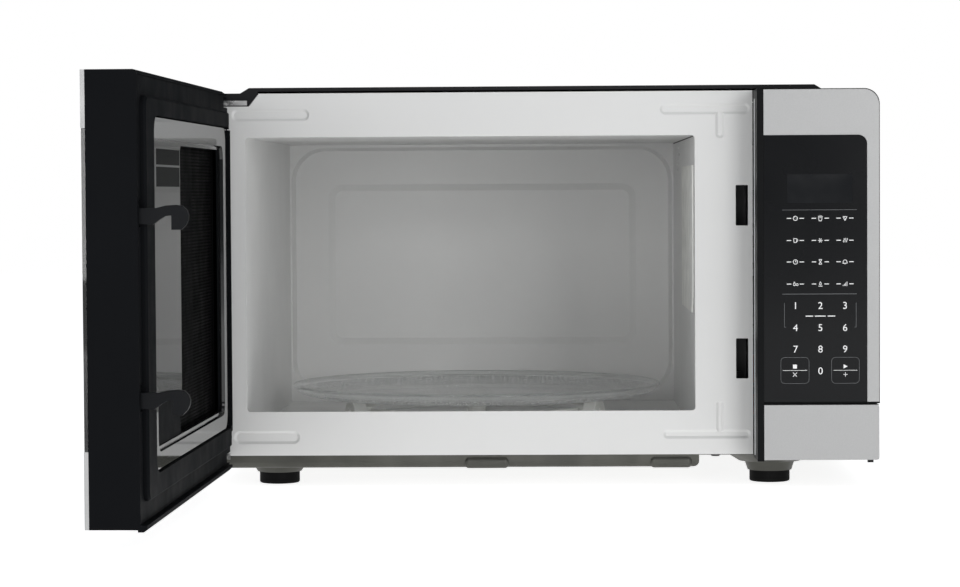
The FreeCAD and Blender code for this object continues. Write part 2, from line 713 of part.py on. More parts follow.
def window_band():
    """The gloss sheet on the door's inner side: a raised border, and a lower flat beside the screen."""
    back = DOOR_INNER_Y - 1.4
    border = rounded(grown(BAND_X, -0.2), (back, BAND_Y), grown(BAND_OUTER_Z, -0.2), 12, Y_AXIS)
    rim = [edge for edge in border.Edges if abs(edge.CenterOfMass.y - BAND_Y) < 0.01]
    border = border.makeChamfer(0.8, rim)
    inner_x = grown(BAND_INNER_X, 1)
    inner_z = grown(BAND_INNER_Z, 1)
    step = tapered(inner_x, (BAND_Y + 0.1, BAND_Y - BAND_STEP), inner_z, 10, 1)
    window = rounded(MESH_X, (-50, 0), MESH_Z, 6, Y_AXIS)
    below = rounded((MESH_X[0] + 10, BAND_INNER_X[1]), (-50, 0), (MESH_Z[0], BAND_CUT_Z), 6, Y_AXIS)
    return cut(border, step, window, below)


def hook_slots():
    slots = []
    for z in HOOK_BASE_Z:
        slots.append(block(grown(HOOK_X, 0.9), (-20, 5), (z + 0.5, z + 14 + LATCH_TRAVEL)))
    return slots


def choke_cover():
    """The plastic cover on the door's inner side, with a raised lip round the window film."""
    inset = -RIM - 0.3
    plate = block(grown((0, DOOR_W), inset), (DOOR_INNER_Y - 3, DOOR_INNER_Y), grown(DOOR_Z, inset))
    lip = rounded(LIP_X, (DOOR_INNER_Y - 1, LIP_Y), LIP_Z, 8, Y_AXIS)
    rim = [edge for edge in lip.Edges if abs(edge.CenterOfMass.y - LIP_Y) < 0.01]
    lip = lip.makeChamfer(1.6, rim)
    film_seat = rounded(BAND_X, (DOOR_INNER_Y - 1.5, 5), BAND_OUTER_Z, 12, Y_AXIS)
    window = rounded(MESH_X, (-50, 5), MESH_Z, 6, Y_AXIS)
    corners = [block((0, NOTCH_X[1] + 0.3), (-20, 5), z)
               for z in ((UPPER_BOSS_Z[0] - 0.3, 320), (0, LOWER_BOSS_Z[1] + 0.3))]
    return cut(fuse(plate, lip), film_seat, window, *corners, *hook_slots())


HOOK_OUTLINE = [
    (-16.0, 3.5), (3.4, 2.0), (8.0, 5.5), (11.7, 7.6), (15.5, 7.9), (15.5, -1.2), (21.9, -1.2), (24.8, 1.8),
    (26.3, 5.0), (26.6, 8.0), (25.6, 11.3), (22.8, 14.0), (18.5, 14.7), (12.0, 14.3), (6.0, 12.8),
    (-16.0, 12.5),
]


def latch_hook(z):
    """One hook: an arm out of the door that ends in a round head with its tip pointing down."""
    return prism_x([(y, z + rise) for y, rise in HOOK_OUTLINE], HOOK_X)


def latch_hooks():
    bar = block((407.0, HOOK_X[1]), (LATCH_Y[1] - 4, LATCH_Y[1]), (80, 240))
    web = block((407.0, 410.0), LATCH_Y, (80, 240))
    peg = rod((413.0, LATCH_Y[0] + 6, 78), Z_AXIS, 1.5, 6)
    peg = peg.fuse(block((409.0, 415.0), LATCH_Y, (82, 86)))
    return fuse(bar, web, peg, *[latch_hook(z) for z in HOOK_BASE_Z])


def latch_spring():
    return ring((413.0, LATCH_Y[0] + 6, 52), Z_AXIS, 3.2, 2.2, 28)


def spring_anchor():
    """A hooked post on the door frame's floor for the latch spring's lower end."""
    return block((409.0, 417.0), (FRAME_Y[0] + 5, LATCH_Y[0] + 10), (47, 52))


# ---------------------------------------------------------------- control panel

PANEL_WALL = 2.5
SHELF_Z = (67.3, 69.3)
CAP_T = 2.5
SKIRT_BACK_Y = -20.0
BUTTON_WELL_X = 480.0
BUTTON_WELL_Z = 45.0
PLUNGER_X = (438.0, 446.0)
PLUNGER_Z = (42.0, 46.0)
NECK_X = (433.5, 516.5)
NECK_Z = (26.6, 63.6)
NECK_Y = -30.0


def panel_corner(p):
    return p.x > TRIM_RIGHT_X - 1 and p.z > TRIM_TOP_Z - 1


def control_panel_frame():
    front = FACE_Y + 3
    upper = rounded(PANEL_X, (front, -0.1), (SHELF_Z[0], PANEL_Z[1]), CORNER_R, Y_AXIS, panel_corner)
    inside = block(grown(PANEL_X, -PANEL_WALL), (front + PANEL_WALL, 5),
                   (SHELF_Z[1], PANEL_Z[1] - PANEL_WALL))
    inside = inside.makeFillet(CORNER_R - PANEL_WALL, parallel_edges(
        inside, Y_AXIS, lambda p: p.x > PANEL_X[1] - 4 and p.z > PANEL_Z[1] - 4))
    strip = block((PANEL_X[0], SILVER_X - 0.1), (FACE_Y, -0.1), PANEL_Z)
    flange = block((PANEL_X[0], PANEL_X[1]), (-14, -0.1), (PANEL_Z[0], SHELF_Z[0]))
    neck = block(NECK_X, (NECK_Y, -0.1), NECK_Z)
    hollow = block(grown(NECK_X, -2), (NECK_Y + 2, 5), grown(NECK_Z, -2))
    display_hole = block((444, 502), (front - 5, 0), (216, 254))
    well = rod((BUTTON_WELL_X, NECK_Y, BUTTON_WELL_Z), Y_AXIS, 7.5, 20)
    well_bore = rod((BUTTON_WELL_X, NECK_Y - 5, BUTTON_WELL_Z), Y_AXIS, 6, 23)
    plunger_hole = block(grown(PLUNGER_X, 0.6), (NECK_Y - 5, 5), grown(PLUNGER_Z, 0.6))
    shell = cut(fuse(upper, strip, flange, neck), inside, hollow, display_hole)
    return cut(fuse(shell, well), well_bore, plunger_hole)


def keypad_panel():
    return rounded((SILVER_X, KEYPAD_RIGHT_X), (FACE_Y + 0.3, FACE_Y + 3), KEYPAD_Z, 7, Y_AXIS,
                   lambda p: p.x > KEYPAD_RIGHT_X - 1 and p.z > KEYPAD_Z[1] - 1)


def panel_trim():
    z = (KEYPAD_Z[0], TRIM_TOP_Z)
    body = rounded((SILVER_X, TRIM_RIGHT_X), (FACE_Y, FACE_Y + 3), z, CORNER_R, Y_AXIS,
                   panel_corner)
    seat_x = (SILVER_X - 5, KEYPAD_RIGHT_X + 0.15)
    seat = rounded(seat_x, (FACE_Y - 1, FACE_Y + 5), (0, KEYPAD_Z[1] + 0.15), 7,
                   Y_AXIS, lambda p: p.x > KEYPAD_RIGHT_X - 1 and p.z > KEYPAD_Z[1] - 1)
    return body.cut(seat)


def display_module():
    window = block((446, 500), (FACE_Y + 3.2, -22), (218, 252))
    board = block((444, 502), (-22, -20.2), (214, 256))
    return fuse(window, board)


def control_board():
    return block((432, 514), (-20, -18.4), (80, 262))


def board_components():
    relays = [block((x, x + 16), (-18.4, -4), (90, 112)) for x in (440, 462, 484)]
    transformer = block((440, 475), (-18.4, -3), (130, 160))
    chip = block((485, 505), (-18.4, -15), (130, 150))
    buzzer = rod((495, -18.4, 180), Y_AXIS, 7, 9)
    ribbon_socket = block((440, 480), (-18.4, -10), (240, 248))
    return Part.makeCompound(relays + [transformer, chip, buzzer, ribbon_socket])


def release_button():
    cap = rounded(BUTTON_X, (FACE_Y, FACE_Y + CAP_T), BUTTON_Z, 2, Y_AXIS, lambda p: p.x > BUTTON_X[1] - 1)
    skirt = block(BUTTON_X, (FACE_Y + CAP_T, SKIRT_BACK_Y), BUTTON_Z)
    skirt = skirt.cut(block(grown(BUTTON_X, -2), (-50, 0), grown(BUTTON_Z, -2)))
    plunger = block(PLUNGER_X, (FACE_Y + CAP_T, LEVER_Y - 2.8), PLUNGER_Z)
    return fuse(cap, skirt, plunger)


def button_spring():
    start = FACE_Y + CAP_T
    return ring((BUTTON_WELL_X, start, BUTTON_WELL_Z), Y_AXIS, 5, 4, NECK_Y + 18 - start)


# ---------------------------------------------------------------- turntable

HUB_R = 8.0
HUB_Z = (40.5, 57.3)
WING_R = 21.0


def drive_coupler():
    hub = rod((TABLE_X, TABLE_Y, HUB_Z[0]), Z_AXIS, HUB_R, HUB_Z[1] - HUB_Z[0])
    wings = []
    for i in range(3):
        wing = block((TABLE_X, TABLE_X + WING_R), around(TABLE_Y, 7), (51.4, HUB_Z[1]))
        wings.append(turned(wing, TABLE, 120 * i))
    bore = rod((TABLE_X, TABLE_Y, HUB_Z[0] - 1), Z_AXIS, SHAFT_R + RUNNING_FIT, 9)
    return cut(fuse(hub, *wings), bore)


def glass_tray():
    dish = lathe([
        (0, TRAY_Z), (137, TRAY_Z), (150, TRAY_Z + 2.8), (156, TRAY_Z + 8.4), (TRAY_R, TRAY_TOP_Z - 1.5),
        (TRAY_R - 0.6, TRAY_TOP_Z), (TRAY_R - 2.6, TRAY_TOP_Z), (TRAY_R - 3.4, TRAY_TOP_Z - 1.2),
        (152, TRAY_Z + 8.8), (147, TRAY_Z + 5.4), (136, TRAY_Z + 3.2), (0, TRAY_Z + 3.2),
    ], TABLE)
    lugs = []
    for i in range(3):
        lug = block((TABLE_X + 12, TABLE_X + 19), around(TABLE_Y, 7), (TRAY_Z - 4.2, TRAY_Z + 1))
        lugs.append(turned(lug, TABLE, 60 + 120 * i))
    return fuse(dish, *lugs)


def roller_ring():
    hoop = ring((TABLE_X, TABLE_Y, WHEEL_Z - 2.5), Z_AXIS, 103, 98, 5)
    axles = []
    inner_r = WHEEL_RING_R - WHEEL_W / 2
    for i in range(3):
        axle = rod((TABLE_X + 101, TABLE_Y, WHEEL_Z), X_AXIS, AXLE_R, inner_r - 101 + WHEEL_W + 1.8)
        shoulder = rod((TABLE_X + 101, TABLE_Y, WHEEL_Z), X_AXIS, 3.6, inner_r - 101 - 0.4)
        cap = rod((TABLE_X + inner_r + WHEEL_W + 0.4, TABLE_Y, WHEEL_Z), X_AXIS, 3.4, 1.4)
        axles.append(turned(fuse(axle, shoulder, cap), TABLE, 90 + 120 * i))
    return fuse(hoop, *axles)


def roller_wheel(angle):
    inner_r = WHEEL_RING_R - WHEEL_W / 2
    tyre = rod((TABLE_X + inner_r, TABLE_Y, WHEEL_Z), X_AXIS, WHEEL_R, WHEEL_W)
    tyre = tyre.makeFillet(0.8, [edge for edge in tyre.Edges if edge.Curve.TypeId == "Part::GeomCircle"])
    bore = rod((TABLE_X + 100, TABLE_Y, WHEEL_Z), X_AXIS, AXLE_R + RUNNING_FIT, 30)
    return turned(tyre.cut(bore), TABLE, angle)


def turntable_motor():
    can = rod((TABLE_X, TABLE_Y, 20.5), Z_AXIS, 24.5, 15)
    ears = rounded((TABLE_X - 32, TABLE_X + 32), around(TABLE_Y, 12), (35.5, 36.6), 5, Z_AXIS)
    gearbox = rod((TABLE_X, TABLE_Y, 36), Z_AXIS, 9, 3.5)
    shaft = rod((TABLE_X, TABLE_Y, 36), Z_AXIS, SHAFT_R, 12)
    terminals = block((TABLE_X + 20, TABLE_X + 31), around(TABLE_Y, 18), (22, 31))
    return fuse(can, ears, gearbox, shaft, terminals)


# ---------------------------------------------------------------- assembly

def fixed_nodes():
    nodes = {
        "outer_cover": outer_cover(),
        "base_plate": base_plate(),
        "rear_panel": rear_panel(),
        "cord_gland": cord_gland(),
        "case_screws": case_screws(),
        "rear_spacers": Part.makeCompound([rear_spacer(90), rear_spacer(330)]),
        "front_plate": front_plate(),
        "cavity_box": cavity_box(),
        "waveguide_cover": waveguide_cover(),
        "waveguide": waveguide(),
        "magnetron": magnetron(),
        "transformer_core": transformer_core(),
        "transformer_windings": transformer_windings(),
        "capacitor": capacitor(),
        "high_voltage_diode": high_voltage_diode(),
        "fan_housing": fan_housing(),
        "fan_motor": fan_motor(),
        "air_duct": air_duct(),
        "noise_filter_board": noise_filter_board(),
        "lamp_holder": lamp_holder(),
        "lamp_bulb": lamp_bulb(),
        "thermal_cutout": thermal_cutout(),
        "latch_board": latch_board(),
        "primary_switch": microswitch(206),
        "monitor_switch": microswitch(114),
        "secondary_switch": microswitch(90),
        "upper_hinge_bracket": upper_hinge_bracket(),
        "lower_hinge_bracket": lower_hinge_bracket(),
        "control_panel_frame": control_panel_frame(),
        "keypad_panel": keypad_panel(),
        "panel_trim": panel_trim(),
        "display_module": display_module(),
        "control_board": control_board(),
        "board_components": board_components(),
        "turntable_motor": turntable_motor(),
    }
    for side, x in zip(("left", "right"), FOOT_X):
        for end, y in zip(("front", "rear"), FOOT_Y):
            nodes[f"foot_{end}_{side}"] = foot(x, y)
    return nodes


def moving_nodes():
    nodes = {
        "release_button": release_button(),
        "button_spring": button_spring(),
        "release_lever": release_lever(),
        "fan_blade": fan_blade(),
        "drive_coupler": drive_coupler(),
        "glass_tray": glass_tray(),
        "roller_ring": roller_ring(),
    }
    for number, angle in enumerate((90, 210, 330), start=1):
        nodes[f"roller_wheel_{number}"] = roller_wheel(angle)
    return nodes


def door_nodes():
    nodes = {
        "door_frame": fuse(door_frame(), spring_anchor()),
        "hinge_bushes": hinge_bushes(),
        "door_glass": door_glass(),
        "door_trim_top": door_trim_top(),
        "door_trim_bottom": door_trim_bottom(),
        "door_panel": door_panel(),
        "door_mesh": door_mesh(),
        "window_band": window_band(),
        "choke_cover": choke_cover(),
        "latch_hooks": latch_hooks(),
        "latch_spring": latch_spring(),
    }
    return {name: opened(shape) for name, shape in nodes.items()}


def export_nodes(nodes):
    os.makedirs("parts", exist_ok=True)
    shift = Vector(-ORIGIN_X, -ORIGIN_Y, 0)
    for name, shape in nodes.items():
        placed = shape.translated(shift)
        placed.exportStep(f"parts/{name}.step")
        box = placed.BoundBox
        print(f"{name:24s} {len(placed.Solids)} solids, valid {placed.isValid()}, "
              f"X {box.XMin:.1f} {box.XMax:.1f}, Y {box.YMin:.1f} {box.YMax:.1f}, Z {box.ZMin:.1f} {box.ZMax:.1f}")


export_nodes({**fixed_nodes(), **moving_nodes(), **door_nodes()})
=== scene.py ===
import json
import math

import bmesh
import bpy
from mathutils import Matrix, Vector


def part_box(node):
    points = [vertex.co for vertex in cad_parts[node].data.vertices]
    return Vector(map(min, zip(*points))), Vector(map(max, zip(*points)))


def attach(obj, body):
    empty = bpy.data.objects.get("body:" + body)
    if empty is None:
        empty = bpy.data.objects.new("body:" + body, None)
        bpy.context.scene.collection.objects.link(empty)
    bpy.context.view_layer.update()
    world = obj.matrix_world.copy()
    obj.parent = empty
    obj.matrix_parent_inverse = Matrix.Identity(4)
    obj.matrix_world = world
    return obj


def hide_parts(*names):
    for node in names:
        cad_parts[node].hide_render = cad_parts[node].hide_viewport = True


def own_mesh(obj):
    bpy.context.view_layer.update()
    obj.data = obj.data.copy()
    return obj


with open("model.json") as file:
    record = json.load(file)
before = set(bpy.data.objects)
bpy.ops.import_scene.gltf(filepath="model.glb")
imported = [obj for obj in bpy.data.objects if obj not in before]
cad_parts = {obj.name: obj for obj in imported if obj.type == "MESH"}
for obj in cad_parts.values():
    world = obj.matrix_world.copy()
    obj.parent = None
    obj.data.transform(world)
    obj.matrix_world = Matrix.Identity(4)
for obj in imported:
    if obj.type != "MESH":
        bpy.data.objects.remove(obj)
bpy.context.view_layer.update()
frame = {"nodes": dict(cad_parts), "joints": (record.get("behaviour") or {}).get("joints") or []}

MM = 0.001


# ---------------------------------------------------------------- places read from the frame

NODES = frame["nodes"]
JOINTS = {joint["name"]: joint for joint in frame["joints"]}


hinge_joint = JOINTS["door_hinge"]
HINGE = Vector(hinge_joint["pos_m"])
OPEN_ANGLE = math.radians(hinge_joint["range_deg"][0])
DOOR_OPEN = Matrix.Translation(HINGE) @ Matrix.Rotation(OPEN_ANGLE, 4, "Z") @ Matrix.Translation(-HINGE)
DOOR_CLOSE = DOOR_OPEN.inverted()


def closed_box(node):
    """A door node's corners with the door shut, where its faces lie along the axes."""
    points = [DOOR_CLOSE @ v.co for v in NODES[node].data.vertices]
    low = Vector([min(p[i] for p in points) for i in range(3)])
    high = Vector([max(p[i] for p in points) for i in range(3)])
    return low, high


# ---------------------------------------------------------------- materials

def srgb(*levels):
    """A colour given as 0-255 display levels, as linear values."""
    linear = []
    for level in levels:
        v = level / 255
        linear.append(v / 12.92 if v <= 0.04045 else ((v + 0.055) / 1.055) ** 2.4)
    return tuple(linear)


def node(mat, kind, **inputs):
    made = mat.node_tree.nodes.new(kind)
    for name, value in inputs.items():
        made.inputs[name].default_value = value
    return made


def link(mat, out_socket, in_socket):
    mat.node_tree.links.new(out_socket, in_socket)


def noise(mat, scale, detail, stretch=None):
    """A noise texture in object space, scale in cycles per metre."""
    coords = node(mat, "ShaderNodeTexCoord")
    place = node(mat, "ShaderNodeMapping")
    if stretch:
        place.inputs["Scale"].default_value = stretch
    texture = node(mat, "ShaderNodeTexNoise", Scale=scale, Detail=detail)
    link(mat, coords.outputs["Object"], place.inputs["Vector"])
    link(mat, place.outputs["Vector"], texture.inputs["Vector"])
    return texture.outputs["Fac"]


NOISE_SPAN = (0.3, 0.7)


def remap(mat, value, low, high):
    """Spread the middle of a noise's span over low to high."""
    ramp = node(mat, "ShaderNodeMapRange")
    ramp.inputs["From Min"].default_value = NOISE_SPAN[0]
    ramp.inputs["From Max"].default_value = NOISE_SPAN[1]
    ramp.inputs["To Min"].default_value = low
    ramp.inputs["To Max"].default_value = high
    link(mat, value, ramp.inputs["Value"])
    return ramp.outputs["Result"]


def surface(name, colour, roughness, metallic=0.0, tint=(6.0, 0.08), polish=(40.0, 0.06), grain=None,
            stretch=None, **sockets):
    """A Principled material whose colour, gloss and relief vary over the surface.

    tint, polish: (noise scale, amount). grain: (noise scale, height in metres)."""
    mat = bpy.data.materials.new(name)
    mat.use_nodes = True
    shader = mat.node_tree.nodes["Principled BSDF"]
    shader.inputs["Metallic"].default_value = metallic
    for socket, value in sockets.items():
        shader.inputs[socket.replace("_", " ")].default_value = value
    mix = node(mat, "ShaderNodeMix")
    mix.data_type = "RGBA"
    scale, amount = tint
    mix.inputs["A"].default_value = tuple(c * (1 - amount) for c in colour) + (1,)
    mix.inputs["B"].default_value = tuple(min(1, c * (1 + amount)) for c in colour) + (1,)
    link(mat, remap(mat, noise(mat, scale, 4, stretch), 0, 1), mix.inputs["Factor"])
    link(mat, mix.outputs["Result"], shader.inputs["Base Color"])
    scale, amount = polish
    rough = remap(mat, noise(mat, scale, 3, stretch), max(0.02, roughness - amount), roughness + amount)
    link(mat, rough, shader.inputs["Roughness"])
    if grain:
        scale, height = grain
        relief = node(mat, "ShaderNodeBump", Strength=1.0, Distance=height)
        link(mat, noise(mat, scale, 2, stretch), relief.inputs["Height"])
        link(mat, relief.outputs["Normal"], shader.inputs["Normal"])
    return mat


SPECK_EDGE = 0.05
SPECK_ALPHA = (0.35, 0.85)


def add_specks(mat, scale, threshold):
    """Make a surface more opaque in small specks, where the noise passes threshold: a real stipple pattern
    whose white specks also paint its sparkle in as fixed glints.
    """
    shader = mat.node_tree.nodes["Principled BSDF"]
    mask = node(mat, "ShaderNodeMapRange")
    mask.inputs["From Min"].default_value = threshold
    mask.inputs["From Max"].default_value = threshold + SPECK_EDGE
    link(mat, noise(mat, scale, 1), mask.inputs["Value"])
    link(mat, remap(mat, mask.outputs["Result"], *SPECK_ALPHA), shader.inputs["Alpha"])


MATERIALS = {
    "cover_paint": surface("cover_paint", srgb(24, 24, 26), 0.55, tint=(6, 0.03), polish=(40, 0.02),
                          grain=(1400, 0.00004), Specular_IOR_Level=0.15),
    "galvanised": surface("galvanised", srgb(72, 72, 67), 0.45, 0.5, tint=(35, 0.2), polish=(60, 0.12),
                          grain=(220, 0.00003)),
    "bright_steel": surface("bright_steel", srgb(200, 200, 200), 0.28, 1.0, polish=(120, 0.08),
                            grain=(500, 0.00002)),
    "bracket_steel": surface("bracket_steel", srgb(150, 150, 150), 0.35, 0.9, polish=(160, 0.1),
                             grain=(300, 0.00006)),
    "enamel": surface("enamel", srgb(214, 214, 213), 0.38, tint=(5, 0.015), polish=(30, 0.04),
                      grain=(900, 0.00001), Specular_IOR_Level=0.4),
    "cavity_enamel": surface("cavity_enamel", srgb(228, 228, 227), 0.42, tint=(9, 0.03), polish=(25, 0.05),
                             grain=(700, 0.000012), Specular_IOR_Level=0.4),
    "door_plastic": surface("door_plastic", srgb(18, 19, 21), 0.6, Specular_IOR_Level=0.015),
    "panel_plastic": surface("panel_plastic", srgb(17, 18, 19), 0.4, grain=(2200, 0.00002),
                             Specular_IOR_Level=0.05),
    "silver_paint": surface("silver_paint", srgb(166, 166, 166), 0.4, 0.2, tint=(900, 0.035),
                            polish=(80, 0.03), grain=(3000, 0.000006)),
    "keypad_gloss": surface("keypad_gloss", srgb(13, 14, 16), 0.2, tint=(10, 0.04), polish=(14, 0.02),
                            Specular_IOR_Level=0.12, Coat_Weight=0.1, Coat_Roughness=0.08),
    "band_gloss": surface("band_gloss", srgb(16, 17, 18), 0.05, tint=(10, 0.05), polish=(12, 0.02),
                          grain=(60, 0.00002), Specular_IOR_Level=0.5),
    # The dull band material is painted shade: a non-reflecting black that stands in for a dark reflection
    # on the gloss band.
    "band_painted_shade": surface("band_painted_shade", srgb(24, 25, 25), 0.12, tint=(10, 0.05), polish=(12, 0.02),
                         Specular_IOR_Level=0.0015),
    "door_glass": surface("door_glass", srgb(120, 122, 124), 0.03, tint=(8, 0.03), polish=(10, 0.01),
                          Transmission_Weight=1.0, IOR=1.5),
    "screen_black": surface("screen_black", srgb(7, 7, 8), 0.6, polish=(50, 0.08), Specular_IOR_Level=0.02),
    "tray_glass": surface("tray_glass", srgb(250, 254, 253), 0.03, tint=(20, 0.003), polish=(30, 0.02),
                          Transmission_Weight=1.0, IOR=1.42, Alpha=0.5, Specular_IOR_Level=0.8),
    "tray_texture": surface("tray_texture", srgb(236, 240, 239), 0.3, tint=(800, 0.3), polish=(900, 0.15),
                            Transmission_Weight=0.1, IOR=1.45),
    # This pale grey paints the highlight along the control panel's left front edge.
    "painted_highlight_grey": surface("painted_highlight_grey", srgb(205, 207, 207), 0.35, tint=(60, 0.1), polish=(90, 0.08)),
    "seam_dark": surface("seam_dark", srgb(30, 30, 31), 0.6),
    "bulb_glass": surface("bulb_glass", srgb(245, 240, 225), 0.08, Transmission_Weight=0.9, IOR=1.45),
    "white_plastic": surface("white_plastic", srgb(226, 226, 222), 0.4, tint=(12, 0.03),
                             grain=(1500, 0.00002)),
    "mica": surface("mica", srgb(240, 240, 236), 0.5, tint=(60, 0.12), polish=(90, 0.15),
                    grain=(260, 0.00004)),
    "circuit_board": surface("circuit_board", srgb(70, 100, 50), 0.45, tint=(120, 0.12),
                             grain=(900, 0.00003)),
    "component": surface("component", srgb(38, 38, 40), 0.5, tint=(80, 0.2), grain=(700, 0.00003)),
    "laminated": surface("laminated", srgb(92, 92, 96), 0.5, 0.7, tint=(30, 0.2), stretch=(1, 40, 1),
                         grain=(60, 0.0002)),
    "winding": surface("winding", srgb(165, 82, 42), 0.35, 0.6, tint=(30, 0.15), stretch=(1, 1, 60),
                       grain=(40, 0.0004)),
    "can_metal": surface("can_metal", srgb(196, 196, 198), 0.32, 0.95, polish=(70, 0.08),
                         grain=(400, 0.00002)),
    "foot_rubber": surface("foot_rubber", srgb(10, 10, 10), 0.65, tint=(90, 0.15), grain=(1200, 0.00005),
                           Specular_IOR_Level=0.1),
    "label_ink": surface("label_ink", srgb(236, 236, 236), 0.5, tint=(600, 0.05)),
    "faint_ink": surface("faint_ink", srgb(96, 98, 100), 0.5, tint=(600, 0.05)),
    "display_dark": surface("display_dark", srgb(25, 26, 28), 0.12, Specular_IOR_Level=0.3),
    "hook_plastic": surface("hook_plastic", srgb(22, 23, 25), 0.5, grain=(1800, 0.00003),
                            Specular_IOR_Level=0.06),
    "dark_moulding": surface("dark_moulding", srgb(34, 34, 36), 0.45, tint=(40, 0.15),
                             grain=(900, 0.00003)),
}

# The specks are the ring's real stipple, with its sparkle painted in as white glints (painted highlight).
add_specks(MATERIALS["tray_texture"], 620, 0.53)

NODE_MATERIAL = {
    "outer_cover": "cover_paint", "base_plate": "galvanised", "rear_panel": "galvanised",
    "cord_gland": "panel_plastic", "case_screws": "component", "rear_spacers": "panel_plastic",
    "front_plate": "enamel", "cavity_box": "cavity_enamel", "waveguide_cover": "mica",
    "waveguide": "galvanised", "magnetron": "bright_steel", "transformer_core": "laminated",
    "transformer_windings": "winding", "capacitor": "can_metal", "high_voltage_diode": "component",
    "fan_housing": "white_plastic", "fan_motor": "laminated", "air_duct": "white_plastic",
    "noise_filter_board": "circuit_board", "lamp_holder": "white_plastic", "lamp_bulb": "bulb_glass",
    "thermal_cutout": "component", "latch_board": "dark_moulding", "primary_switch": "component",
    "monitor_switch": "component", "secondary_switch": "component", "upper_hinge_bracket": "bracket_steel",
    "lower_hinge_bracket": "bracket_steel", "control_panel_frame": "panel_plastic",
    "keypad_panel": "keypad_gloss", "panel_trim": "silver_paint", "display_module": "component",
    "control_board": "circuit_board", "board_components": "component", "turntable_motor": "bright_steel",
    "foot_front_left": "foot_rubber", "foot_rear_left": "foot_rubber", "foot_front_right": "foot_rubber",
    "foot_rear_right": "foot_rubber", "release_button": "silver_paint", "release_lever": "dark_moulding",
    "fan_blade": "white_plastic", "drive_coupler": "white_plastic", "roller_ring": "white_plastic",
    "roller_wheel_1": "white_plastic", "roller_wheel_2": "white_plastic", "roller_wheel_3": "white_plastic",
    "door_frame": "door_plastic", "hinge_bushes": "white_plastic", "door_glass": "door_glass",
    "door_trim_top": "silver_paint", "door_trim_bottom": "silver_paint", "door_panel": "screen_black",
    "choke_cover": "door_plastic", "latch_hooks": "hook_plastic", "window_band": "band_gloss",
}


BEVEL_SEGMENTS = 2
SHARP_ANGLE = math.radians(40)


def soften(obj, width):
    """Rounds an object's sharp edges by a small bevel and smooths its curved faces."""
    bevel = obj.modifiers.new("edge", "BEVEL")
    bevel.width = width
    bevel.segments = BEVEL_SEGMENTS
    bevel.limit_method = "ANGLE"
    bevel.angle_limit = SHARP_ANGLE
    bevel.harden_normals = True
    for polygon in obj.data.polygons:
        polygon.use_smooth = True
    obj.modifiers.new("even", "WEIGHTED_NORMAL")


# Edge roundings in mm.
BEVELS = {
    "panel_trim": 0.7, "release_button": 0.7, "front_plate": 0.9, "cavity_box": 2.2, "base_plate": 1.0,
    "door_trim_top": 0.5, "door_trim_bottom": 0.5, "control_panel_frame": 0.9, "keypad_panel": 0.15,
    "latch_hooks": 0.8, "upper_hinge_bracket": 0.25, "lower_hinge_bracket": 0.25,
}


def dress_cad_nodes():
    for name, material in NODE_MATERIAL.items():
        mesh = NODES[name].data
        mesh.materials.clear()
        mesh.materials.append(MATERIALS[material])
    for name, width in BEVELS.items():
        soften(NODES[name], width * MM)


# ---------------------------------------------------------------- mesh helpers

def make_object(name, mesh, material, smooth=False):
    obj = bpy.data.objects.new(name, mesh)
    bpy.context.scene.collection.objects.link(obj)
    mesh.materials.append(MATERIALS[material])
    for polygon in mesh.polygons:
        polygon.use_smooth = smooth
    return obj


def from_lists(name, points, faces, material, smooth=False, place=None):
    mesh = bpy.data.meshes.new(name)
    mesh.from_pydata([tuple(p) for p in points], [], faces)
    if place is not None:
        mesh.transform(place)
    mesh.validate()
    mesh.update()
    return make_object(name, mesh, material, smooth)


# ---------------------------------------------------------------- camera, light and floor

CAMERA_AT = Vector((0.02255, -2.2049, 0.232))
CAMERA_PITCH = math.radians(2.07)
CAMERA_YAW = math.radians(-1.44)
CAMERA_ROLL = math.radians(-0.34)
LENS = 105.8
SENSOR = 36
VIEW_LIMIT = 50


def add_camera():
    forward = Vector((math.sin(CAMERA_YAW) * math.cos(CAMERA_PITCH),
                      math.cos(CAMERA_YAW) * math.cos(CAMERA_PITCH), -math.sin(CAMERA_PITCH)))
    right = forward.cross(Vector((0, 0, 1))).normalized()
    up = right.cross(forward)
    c, s = math.cos(CAMERA_ROLL), math.sin(CAMERA_ROLL)
    right, up = c * right + s * up, -s * right + c * up
    data = bpy.data.cameras.new("camera")
    data.lens = LENS
    data.sensor_width = SENSOR
    data.clip_end = VIEW_LIMIT
    camera = bpy.data.objects.new("camera", data)
    bpy.context.scene.collection.objects.link(camera)
    turn = Matrix((right, up, -forward)).transposed().to_4x4()
    camera.matrix_world = Matrix.Translation(CAMERA_AT) @ turn
    bpy.context.scene.camera = camera


def add_area(name, at, target, size, power):
    data = bpy.data.lights.new(name, "AREA")
    data.shape = "RECTANGLE"
    data.size, data.size_y = size
    data.energy = power
    light = bpy.data.objects.new(name, data)
    bpy.context.scene.collection.objects.link(light)
    aim = (Vector(target) - Vector(at)).to_track_quat("-Z", "Y")
    light.matrix_world = Matrix.Translation(at) @ aim.to_matrix().to_4x4()


# Each light: place, target, width and height in metres, and power in watts.
LIGHTS = {
    "key_light": ((1.3, -2.5, 1.2), (0.05, 0, 0.15), (1.2, 1.0), 9),
    "right_fill": ((1.25, -2.9, 0.5), (0, 0.2, 0.16), (0.9, 0.9), 16),
    "left_fill": ((-0.7, -2.8, 0.5), (0, 0.2, 0.16), (0.8, 0.8), 11.5),
    "side_light": ((-2.6, -0.9, 0.7), (0, 0, 0.16), (1.2, 1.2), 10),
    "top_light": ((0.1, -0.3, 2.4), (0, 0, 0.1), (2.4, 2.0), 10),
}
AMBIENT_COLOUR = (0.9, 0.95, 1, 1)
AMBIENT_STRENGTH = 0.2


